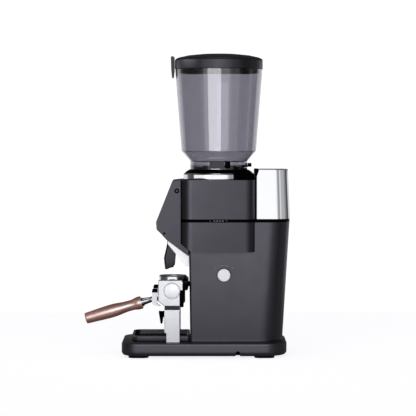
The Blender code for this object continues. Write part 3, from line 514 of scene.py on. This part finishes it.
easedEdges = {    # CAD pieces kept in shape, with their edges eased by these millimetres
    "housing_lower": 1.1, "trim_band": 0.5, "housing_upper": 1.4, "rear_liner": 0.5, "head_shell": 1.2,
    "touch_panel": 0.4, "work_light": 0.9, "spout": 0.7, "exit_chute": 0.3, "column_left": 0.8,
    "column_right": 0.8, "column_band_left": 0.6, "column_band_right": 0.6, "fork_block_left": 1.2,
    "fork_block_right": 1.2, "fork_arm_left": 0.8, "fork_arm_right": 0.8, "fork_bridge": 0.6,
    "hopper_gate": 0.5, "lid_clip": 0.7, "hopper_latch": 0.4, "adjust_lever": 0.8, "start_button": 0.7,
    "cable_gland": 0.3, "foot_front_left": 0.8, "foot_front_right": 0.8, "foot_rear_left": 0.8,
    "foot_rear_right": 0.8, "motor_mount": 0.6, "control_board": 0.2, "power_switch": 0.6,
    "start_switch": 0.6}
ownFinish = {"column_band_left": "bandRubber", "column_band_right": "bandRubber",
             "spout": "mouldedAbsGraphite", "lid_clip": "mouldedAbsGraphite",
             "hopper_latch": "mouldedAbsGraphite", "fork_block_left": "millSatinAluminium",
             "fork_block_right": "millSatinAluminium", "fork_arm_left": "millSatinAluminium",
             "fork_arm_right": "millSatinAluminium"}
for nodeName, edge in easedEdges.items():
    rounded(nodeName, edge, ownFinish.get(nodeName))
print("stand made")

# Adjusting ring, hopper and lid, all turned round the grinding axis
axisAt = (0.0, 62.5)
turned("adjustRing", [(45.5, 355.0, 0.5), (66.5, 355.0, 1.6), (69.2, 352.4, 1.6), (69.2, 342.9, 0.5),
                      (59.0, 342.9), (59.0, 340.0, 0.4), (45.5, 340.0, 0.4)], "polishedChrome", axisAt,
                      stands=("adjust_ring",))
turned("hopperCollar", [(66.0, 355.4, 0.4), (65.6, 356.2, 0.4), (58.0, 361.2, 0.8), (52.8, 361.2),
                        (52.8, 366.5, 0.4), (28.0, 366.5, 0.6), (28.0, 357.0, 0.4), (42.0, 357.0),
                        (42.0, 352.0, 0.5), (44.6, 352.0, 0.5), (44.6, 355.4)], "mouldedAbsBlack", axisAt,
                        stands=("hopper_collar",))
hopper = dict(profile=[(82.4, 570.0, 0.6), (82.4, 556.4, 0.5), (85.0, 556.4, 0.8), (72.7, 397.7, 3.0),
                       (55.6, 378.0, 2.0), (55.6, 361.6, 0.5), (53.2, 361.6, 0.5), (53.2, 377.0, 2.0),
                       (70.6, 398.0, 3.0), (80.0, 545.0, 2.0), (80.0, 570.0, 0.6)],
              slotLow=(-32.6, 100.0, 366.3), slotHigh=(32.6, 125.0, 371.0))
hopperPiece = turned("hopperShell", hopper["profile"], "smokedClearPlastic", axisAt, fine=6,
                     stands=("hopper",))
carve(hopperPiece, hopper["slotLow"], hopper["slotHigh"])

lidProfile = [(0.0, 586.8), (32.0, 586.0, 60.0), (60.0, 583.2, 40.0), (78.0, 579.2, 16.0),
              (84.0, 576.4, 4.0), (85.6, 573.5, 2.6), (85.6, 556.8, 0.5), (83.0, 556.8, 0.5),
              (83.0, 570.4, 0.6), (79.6, 570.4, 0.6), (79.6, 557.2, 0.3), (76.6, 557.2, 0.3),
              (76.6, 573.0, 3.0), (0.0, 580.0)]
turned("lidCap", lidProfile, "mouldedAbsGraphite", axisAt, fine=6, closed=False, stands=("lid",))
turned("lidSeal", [(76.6, 556.9, 0.4), (79.2, 556.9, 0.4), (79.2, 555.4, 0.4), (79.9, 554.9, 0.3),
                   (79.9, 553.9, 0.3), (79.2, 553.4, 0.4), (79.2, 549.2, 0.8), (76.6, 549.2, 0.8)],
                   "mouldedRubber", axisAt, body="lid_unit")


def ringPart(name, inner, outer, start, end, low, high, edge, surface, **place):
    # a slice of a ring from angle start to end, its rims rounded
    angle = np.radians(np.linspace(start, end, 15))
    outside = np.stack([axisAt[0] + outer * np.cos(angle), axisAt[1] + outer * np.sin(angle)], axis=1)
    inside = np.stack([axisAt[0] + inner * np.cos(angle), axisAt[1] + inner * np.sin(angle)], axis=1)
    return slab(name, np.vstack([outside, inside[::-1]]), low, high, edge, surface, **place)


ringPart("latchStop", 56.2, 61.0, 11.5, 21.0, 364.6, 377.6, 0.5, "mouldedAbsBlack", body="hopper_unit")
print("hopper and lid made")

# Controls
bodySide, housingSide = 65.0, 80.0    # the outer faces that marks and screws sit on
power = dict(centre=(72.0, 159.5))
turned("powerKnob", [(0.0, 58.0), (3.0, 58.0, 0.3), (3.0, 65.6), (11.6, 65.6, 0.5), (12.4, 66.6, 0.5),
                     (12.4, 69.6, 0.7), (11.3, 70.4, 0.7), (10.9, 70.4), (10.5, 70.05, 0.2),
                     (10.1, 70.4, 0.2), (0.0, 70.4)],
       "whiteEnamel", power["centre"], axis="X", steps=72, closed=False, stands=("power_knob",))
# a thin black ring on the side face round the knob: painted shadow of the gap under the knob's rim
turned("powerWell", [(3.5, 65.05), (13.6, 65.05), (13.6, 65.3, 0.1), (3.5, 65.3, 0.1)], "mouldedAbsBlack",
       power["centre"], axis="X", steps=64, body="stand")


inkHigh = 0.12    # how far a printed mark stands out of its face


def inkedBar(name, centre, length, width, plane):    # a flat pad-printed bar on the face at X = plane
    y, z = centre
    corners = [(y + a * length / 2, z + b * width / 2) for a, b in ((-1, -1), (1, -1), (1, 1), (-1, 1))]
    low, high = (plane, plane + inkHigh) if plane > 0 else (plane - inkHigh, plane)
    slab(name, corners, low, high, 0.03, "paleInk", axis="X", rim=1, body="stand")


marks = dict(off=(55.6, 173.0), on=(88.4, 173.0), length=3.4, width=0.8, arcRadius=18.6, arcLine=0.6,
             arcFrom=62, arcTo=118)
inkedBar("powerMarkOff", marks["off"], marks["length"], marks["width"], bodySide)
inkedBar("powerMarkOn", marks["on"], marks["length"], marks["width"], bodySide)
arcAngle = np.radians(np.linspace(marks["arcFrom"], marks["arcTo"], 13))
arcY, arcZ = power["centre"]
arcEdges = [np.stack([arcY + r * np.cos(arcAngle), arcZ + r * np.sin(arcAngle)], axis=1)
            for r in (marks["arcRadius"] - marks["arcLine"] / 2, marks["arcRadius"] + marks["arcLine"] / 2)]
slab("powerMarkArc", np.vstack([arcEdges[0], arcEdges[1][::-1]]), bodySide, bodySide + inkHigh, 0.03,
     "paleInk", axis="X", rim=1, body="stand")
bandMarks = dict(middle=(61.5, 264.25), pitch=5.4, count=4, length=3.0, width=1.5,
                 dash=15.5, dashLength=2.4, dashWidth=0.6)
bandY, bandZ = bandMarks["middle"]
for side, plane in (("Right", housingSide), ("Left", -housingSide)):
    for k in range(bandMarks["count"]):
        shift = (k - (bandMarks["count"] - 1) / 2) * bandMarks["pitch"]
        inkedBar(f"bandMark{side}{k}", (bandY + shift, bandZ), bandMarks["length"], bandMarks["width"],
                 plane)
    for k, shift in enumerate((-bandMarks["dash"], bandMarks["dash"])):
        inkedBar(f"bandDash{side}{k}", (bandY + shift, bandZ), bandMarks["dashLength"],
                 bandMarks["dashWidth"], plane)
fixings = dict(screw=(-18.4, 321.4), pin=(-42.6, 239.8))


def outwards(profile, plane):    # a profile (radius, height) moved onto the face at X = plane
    out = 1 if plane > 0 else -1
    return [(radius, plane + out * height, *rest) for radius, height, *rest in profile]


for side, plane in (("Right", bodySide), ("Left", -bodySide)):
    collar = [(2.4, -0.4), (4.9, -0.4), (4.9, 0.35, 0.2), (4.2, 0.7, 0.2), (2.8, 0.7, 0.2), (2.4, 0.2)]
    turned(f"headScrew{side}", outwards(collar, plane), "mouldedAbsBlack", fixings["screw"], axis="X",
           steps=48, body="stand")
    turned(f"headScrewMiddle{side}", outwards([(0.0, -0.4), (2.35, -0.4), (2.35, 0.25, 0.2), (0.0, 0.3)],
                                              plane),
           "powderCoatGraphite", fixings["screw"], axis="X", steps=32, closed=False, body="stand")
    turned(f"headPin{side}", outwards([(0.0, -0.4), (2.3, -0.4), (2.3, 0.3, 0.2), (0.0, 0.4)], plane),
           "mouldedAbsBlack", fixings["pin"], axis="X", steps=32, closed=False, body="stand")
print("controls made")

# Touch panel marks, printed on the slanted face
panel = dict(top=(-27.3, 340.3), bottom=(-58.6, 261.6), line=0.5, proud=0.12)    # ends as (y, z)
panelDown = np.array([panel["bottom"][0] - panel["top"][0], panel["bottom"][1] - panel["top"][1]])
panelRun = float(np.hypot(*panelDown))
panelDown /= panelRun
panelOut = np.array([panelDown[1], -panelDown[0]])


def panelLine(name, spots, closed=False):    # a printed line through (across, down) spots
    spots = np.asarray(spots, dtype=float)
    ahead = np.roll(spots, -1, axis=0) - np.roll(spots, 1, axis=0) if closed else np.gradient(spots, axis=0)
    ahead /= np.linalg.norm(ahead, axis=1)[:, None]
    aside = np.stack([-ahead[:, 1], ahead[:, 0]], axis=1) * panel["line"]
    section = []
    for shift, lift in ((-1, -0.1), (1, -0.1), (1, panel["proud"]), (-1, panel["proud"])):
        across = spots + shift * aside
        face = panel["top"] + across[:, 1:] * panelDown + lift * panelOut
        section.append(np.hstack([across[:, :1], face]))
    points = np.stack(section)
    count = len(spots)
    faces = gridFaces(4, count, closeRows=True, closeColumns=closed)
    if not closed:
        faces += [[k * count for k in range(4)], [k * count + count - 1 for k in range(4)][::-1]]
    placeMesh(name, points, faces, "paleInk", body="stand")


def circleSpots(across, down, radius, start=0, end=360, steps=48):    # points round a circle or an arc
    angle = np.radians(np.linspace(start, end, steps, endpoint=end - start < 360))
    return np.stack([across + radius * np.cos(angle), down + radius * np.sin(angle)], axis=1)


dial = dict(down=40.0, radius=17.0, cupAcross=37.8, cupRadius=5.0, stepAcross=9.0, stepDown=66.0,
            stepHalf=3.2, ruleDown=15.0, ruleHalf=38.0)
panelLine("panelDial", circleSpots(0, dial["down"], dial["radius"], 130, 410))
panelLine("panelDialStop", [(0, dial["down"] - 7), (0, dial["down"]), (5.5, dial["down"] + 3)])
for side in (-1, 1):
    name = "Right" if side > 0 else "Left"
    panelLine(f"panelCup{name}", circleSpots(side * dial["cupAcross"], dial["down"], dial["cupRadius"]),
              closed=True)
    middle, half = side * dial["stepAcross"], dial["stepHalf"]
    stepSpots = [(middle + shift * half, dial["stepDown"]) for shift in (-1, 0, 1)]
    panelLine(f"panelStep{name}", stepSpots)
panelLine("panelRule", [(shift * dial["ruleHalf"], dial["ruleDown"]) for shift in (-1, 0, 1)])
print("panel marks made")

# Fork and portafilter
for side, out in (("right", 1), ("left", -1)):
    knobProfile = [(0.0, 78.1), (3.9, 78.1, 0.3), (3.9, 80.3), (15.2, 80.3, 0.4), (15.7, 80.9, 0.4),
                   (15.7, 82.1, 0.4), (15.0, 82.8, 0.5), (13.9, 82.8, 0.2), (13.6, 82.5, 0.15),
                   (13.3, 82.8, 0.2), (0.0, 82.8)]
    turned(f"lockKnob{side.title()}", [(r, x * out, *rest) for r, x, *rest in knobProfile],
           "blastedAluminium", (-27.7, 130.3), axis="X", steps=72, closed=False,
           stands=(f"lock_knob_{side}",))
    low, high = sorted((46.4 * out, 58.6 * out))
    slab(f"hookCap{side.title()}", [(-67.0, 125.2, 1.2), (-56.5, 125.2, 0.8), (-56.5, 132.0, 1.4),
                                    (-66.0, 132.0, 1.8)],
         low, high, 0.8, "mouldedAbsBlack", axis="X", body="fork")

holder = dict(centre=(0.0, -27.0))
turned("portafilterCup", [(4.0, 94.0, 0.4), (9.0, 94.0, 1.0), (20.0, 97.5, 4.0), (24.0, 103.0, 3.0),
                          (24.0, 126.4, 0.8), (27.5, 126.4, 0.8), (27.5, 153.4, 0.6), (23.0, 153.4, 0.4),
                          (22.6, 105.0, 3.0), (17.0, 100.0, 2.0), (4.0, 99.5, 0.4)], "polishedChrome",
                          holder["centre"], steps=112,
       stands=("portafilter_body",))
for side, span in (("Right", (23.6, 34.0)), ("Left", (-34.0, -23.6))):
    slab(f"portafilterLug{side}", [(-32.0, 126.7, 0.9), (-22.3, 126.7, 0.9), (-22.3, 132.0, 0.9),
                                   (-32.0, 132.0, 0.9)],
         span[0], span[1], 0.6, "polishedChrome", axis="X", body="portafilter")
pour = [(-33.0, 93.6, 0.8), (-21.0, 93.6, 0.8), (-21.0, 85.0, 2.0), (-40.0, 75.0, 6.0), (-46.0, 73.0, 2.0),
        (-47.6, 60.6, 1.2), (-51.2, 60.6, 1.2), (-54.9, 83.9, 0.5), (-52.4, 83.9, 0.5), (-50.0, 71.0, 0.9),
        (-46.9, 83.9, 0.5), (-45.0, 83.9, 0.5),
        (-34.0, 89.0, 3.0)]    # side outline, notched between its two lips
slab("portafilterSpout", pour, -12.9, 12.9, 0.7, "mouldedAbsBlack", axis="X", stands=("portafilter_spout",))
neckPath = smoothCurve(np.array([(0, -50.2, 114.5), (0, -57.0, 112.8), (0, -70.0, 107.0), (0, -79.0, 104.5),
                                 (0, -87.6, 102.0)], dtype=float), 40)
neckRadius = np.interp(neckPath[:, 1], [-87.6, -86.0, -70.0, -57.0, -50.2], [7.6, 7.4, 5.2, 5.2, 6.4])
swept("portafilterNeck", neckPath, neckRadius, "polishedChrome", body="portafilter")
turned("filterBasket", [(0.0, 105.5), (20.5, 105.5, 2.0), (22.0, 108.5, 2.0), (22.2, 153.7, 0.4),
                        (26.6, 153.7, 0.4), (26.6, 155.0, 0.5), (21.2, 155.0, 0.8), (21.0, 109.0, 2.0),
                        (19.8, 106.8, 1.0), (0.0, 106.8)],
       "groundSteel", holder["centre"], steps=112, closed=False, stands=("filter_basket",))

handle = dict(front=(-87.9, 101.6), rear=(-196.3, 70.1),
              stations=[(0.0, 10.8), (0.012, 12.4), (0.05, 12.7), (0.09, 12.2), (0.14, 10.9), (0.22, 10.3),
                        (0.34, 11.0), (0.44, 12.3), (0.56, 12.9), (0.72, 12.3), (0.88, 11.3), (0.985, 10.8),
                        (1.006, 10.1), (1.014, 9.0), (1.016, 5.0), (1.017, 0.4)])
handleRow = smoothCurve(np.array([(0.0, 0.4), *handle["stations"]]), 120)
handleRow[:, 0] = np.maximum.accumulate(handleRow[:, 0])
frontSpot, rearSpot = np.array(handle["front"]), np.array(handle["rear"])
handlePath = np.column_stack([np.zeros(len(handleRow)),
                              frontSpot + handleRow[:, :1] * (rearSpot - frontSpot)])
swept("portafilterHandle", handlePath, handleRow[:, 1], "oiledWalnut", steps=72, straight=True,
      stands=("portafilter_handle",))
slope = (rearSpot[1] - frontSpot[1]) / (rearSpot[0] - frontSpot[0])
ferrule = np.array([(0, y, frontSpot[1] + slope * (y - frontSpot[0]))
                    for y in (-84.6, -85.2, -88.6, -89.2)])
swept("portafilterFerrule", ferrule, [7.9, 8.6, 8.6, 8.0], "polishedChrome", straight=True,
      body="portafilter")
print("fork and portafilter made")

# Drip tray with a ribbed mat
tray = dict(halfWidth=62.0, front=-106.0, rear=5.5, frontRadius=16.0, rearRadius=4.0,
            rows=[(30.7, 1.2), (31.4, 0.5), (33.0, 0.0), (40.4, 0.0), (41.7, 0.4), (42.4, 1.1), (42.6, 2.1),
                  (42.5, 3.0), (42.0, 3.9), (41.0, 4.5), (39.0, 4.6), (35.0, 4.6), (33.6, 5.0), (33.0, 6.4)],
            matRows=[(33.1, 0.4), (33.4, 0.0), (34.1, 0.0), (34.4, 0.4)], matInset=7.0,
            ribMiddle=-50.2, ribHalfLength=51.0, ribLow=34.2, ribHigh=36.0, ribPitch=7.4, ribWidth=2.6,
            ribCount=13)
stacked("dripTray", lambda z, inset: plan(tray, inset), tray["rows"], "mouldedAbsGraphite",
        stands=("drip_tray",))
stacked("trayMat", lambda z, inset: plan(tray, inset + tray["matInset"]), tray["matRows"], "mouldedRubber",
        body="tray")
for k in range(tray["ribCount"]):
    y = tray["ribMiddle"] + (k - (tray["ribCount"] - 1) / 2) * tray["ribPitch"]
    half, wide, soft = tray["ribHalfLength"], tray["ribWidth"] / 2, 1.2
    corners = [(-half, y - wide, soft), (half, y - wide, soft), (half, y + wide, soft),
               (-half, y + wide, soft)]
    slab(f"trayRib{k:02d}", corners, tray["ribLow"], tray["ribHigh"], 0.6, "mouldedRubber", rim=2, fine=3,
         body="tray")
print("tray made")

# Studio: pale floor, a soft dome brightest to the sides, and the camera
dome = dict(gain=1.16, top=0.06, backdrop=1.08, behind=0.06,    # stops: compass degrees from +X towards +Y
            stops=[(-180, 0.72), (-144, 0.70), (-128, 0.60), (-118, 0.14), (-104, 0.08), (-66, 0.08),
                   (-48, 0.18), (-34, 0.90), (-4, 0.97), (20, 0.94), (30, 0.60), (42, 0.30), (50, 0.34),
                   (56, 0.26), (66, 0.05), (88, 0.06), (94, 0.26), (100, 0.24), (106, 0.08), (122, 0.08),
                   (130, 0.62), (150, 0.62), (158, 0.70), (180, 0.72)])


def makeDome(look):    # light by compass direction, even overhead; the backdrop stays white
    world = bpy.data.worlds.new("studioDome")
    bpy.context.scene.world = world
    world.use_nodes = True
    tree = world.node_tree
    direction = addNode(tree, "ShaderNodeTexCoord").outputs["Generated"]
    parts = addNode(tree, "ShaderNodeSeparateXYZ", {"Vector": direction})
    turn = addNode(tree, "ShaderNodeMath", {0: parts.outputs["Y"], 1: parts.outputs["X"]},
                   operation="ARCTAN2")
    share = addNode(tree, "ShaderNodeMapRange",
                    {"Value": turn.outputs[0], "From Min": -math.pi, "From Max": math.pi})
    ring = addNode(tree, "ShaderNodeFloatCurve", {"Value": share.outputs["Result"]})
    curve = ring.mapping.curves[0]
    places = [(degrees / 360 + 0.5, bright) for degrees, bright in look["stops"]]
    curve.points[0].location = places[0]
    curve.points[1].location = places[-1]
    for place in places[1:-1]:
        curve.points.new(*place)
    ring.mapping.update()
    rise = addNode(tree, "ShaderNodeMapRange",
                   {"Value": parts.outputs["Z"], "From Min": 0.32, "From Max": 0.62},
                   interpolation_type="SMOOTHSTEP")
    above = addNode(tree, "ShaderNodeMapRange",
                    {"Value": parts.outputs["Z"], "From Min": 0.04, "From Max": 0.09})
    rear = addNode(tree, "ShaderNodeMapRange",
                   {"Value": parts.outputs["X"], "From Min": -0.3, "From Max": -0.6})
    both = addNode(tree, "ShaderNodeMath", {0: above.outputs["Result"], 1: rear.outputs["Result"]},
                   operation="MULTIPLY")
    wall = addNode(tree, "ShaderNodeMix", {"Factor": both.outputs[0], "A": ring.outputs["Value"],
                                           "B": look["behind"]})
    upper = addNode(tree, "ShaderNodeMix", {"Factor": rise.outputs["Result"], "A": wall.outputs["Result"],
                                            "B": look["top"]})
    bright = addNode(tree, "ShaderNodeMath", {0: upper.outputs["Result"], 1: look["gain"]},
                     operation="MULTIPLY")
    seen = addNode(tree, "ShaderNodeLightPath").outputs["Is Camera Ray"]
    shown = addNode(tree, "ShaderNodeMix", {"Factor": seen, "A": bright.outputs[0], "B": look["backdrop"]})
    tree.links.new(shown.outputs["Result"], tree.nodes["Background"].inputs["Strength"])
    tree.nodes["Background"].inputs["Color"].default_value = linear("#fcfcff")


def softBox(name, spot, target, size, power, onlyFor=()):    # an area light facing target
    lamp = bpy.data.lights.new(name, "AREA")
    lamp.shape = "RECTANGLE"
    lamp.size, lamp.size_y = size
    lamp.energy = power
    holder = bpy.data.objects.new(name, lamp)
    holder.location = spot
    holder.rotation_euler = (Vector(target) - Vector(spot)).to_track_quat("-Z", "Y").to_euler()
    holder.visible_camera = False
    bpy.context.scene.collection.objects.link(holder)
    if onlyFor:
        receivers = bpy.data.collections.new(name + "Receivers")
        for pieceName in onlyFor:
            receivers.objects.link(bpy.data.objects[pieceName])
        holder.light_linking.receiver_collection = receivers


makeDome(dome)
painted = ("housing_upperFinished", "housing_lowerFinished", "head_shellFinished")
softBox("paintSoftBox", (1.25, -0.42, 0.50), (0.0, 0.05, 0.35), (0.5, 0.9), 2.1, painted)
softBox("lidSoftBox", (1.4, 0.0625, 0.57), (0.0, 0.0625, 0.57), (0.32, 0.32), 0.8, ("lidCap",))
softBox("handleSoftBox", (1.1, -0.10, 0.34), (0.0, -0.14, 0.09), (0.7, 0.55), 34.0, ("portafilterHandle",))
softBox("baseSoftBox", (0.8, 0.03, 0.16), (0.0, 0.03, 0.04), (1.2, 0.38), 3.2, ("basePlate",))
softBox("bodySoftBox", (0.8, 0.03, 0.19), (0.0, 0.03, 0.19), (1.2, 0.38), 1.0,
        ("chassisShell", "dripTray", "work_lightFinished"))
metals = ("column_rightFinished", "column_leftFinished", "fork_block_rightFinished", "lockKnobRight",
          "fork_arm_rightFinished", "column_band_rightFinished")
softBox("metalSoftBox", (0.8, 0.0, 0.16), (0.0, 0.0, 0.12), (0.9, 0.5), 1.25, metals)
softBox("knobSoftBox", (0.8, 0.07, 0.16), (0.0, 0.07, 0.16), (0.9, 0.5), 3.3, ("powerKnob",))
softBox("ringSoftBox", (0.75, -1.1, 0.38), (0.0, 0.0625, 0.35), (1.6, 0.5), 2.2, ("adjustRing",))
softBox("coverSoftBox", (0.5, 1.3, 0.42), (0.0, 0.15, 0.32), (0.9, 0.8), 0.9, ("rearCover",))
frontPieces = ("touch_panelFinished", "head_shellFinished", "dripTray", "lidCap", "portafilterHandle")
softBox("frontSoftBox", (0.15, -1.6, 0.95), (0.0, 0.0, 0.25), (1.3, 0.5), 8.0, frontPieces)
softBox("hopperSoftBox", (1.47, -0.25, 0.40), (0.0, 0.0625, 0.47), (0.95, 1.5), 11.0, ("hopperShell",))
softBox("overheadSoftBox", (0.2, 0.05, 1.9), (0.0, 0.05, 0.0), (0.8, 0.8), 1.2)

floorLook = dict(colour="#f4f4f6", size=1.8, glow=0.88)
floorMesh = bpy.data.meshes.new("studioFloor")
reach = floorLook["size"] / 2
floorMesh.from_pydata([(-reach, -reach, 0), (reach, -reach, 0), (reach, reach, 0), (-reach, reach, 0)], [],
                      [(0, 1, 2, 3)])
floor = bpy.data.objects.new("studioFloor", floorMesh)
bpy.context.scene.collection.objects.link(floor)
floorSurface, floorTree, floorShader = newSurface("paintedStudioFloor", {
    "Roughness": 0.9, "Specular IOR Level": 0.0, "Base Color": linear(floorLook["colour"]),
    "Emission Color": linear("#fcfcff")})
seenByCamera = addNode(floorTree, "ShaderNodeLightPath").outputs["Is Camera Ray"]    # it lights nothing
floorGlow = addNode(floorTree, "ShaderNodeMath", {0: seenByCamera, 1: floorLook["glow"]},
                    operation="MULTIPLY")
floorTree.links.new(floorGlow.outputs[0], floorShader.inputs["Emission Strength"])
floorMesh.materials.append(floorSurface)

camera = bpy.data.objects.new("camera", bpy.data.cameras.new("camera"))
camera.data.lens = 172.9
camera.data.sensor_width = 36.0
camera.location = (3.9, 0.0414, 0.4386)
camera.rotation_euler = (math.radians(90 - 2.24), 0, math.radians(90))
camera.data.clip_end = 60.0
bpy.context.scene.collection.objects.link(camera)
bpy.context.scene.camera = camera
bpy.context.scene.view_settings.view_transform = "Standard"
print("studio made")
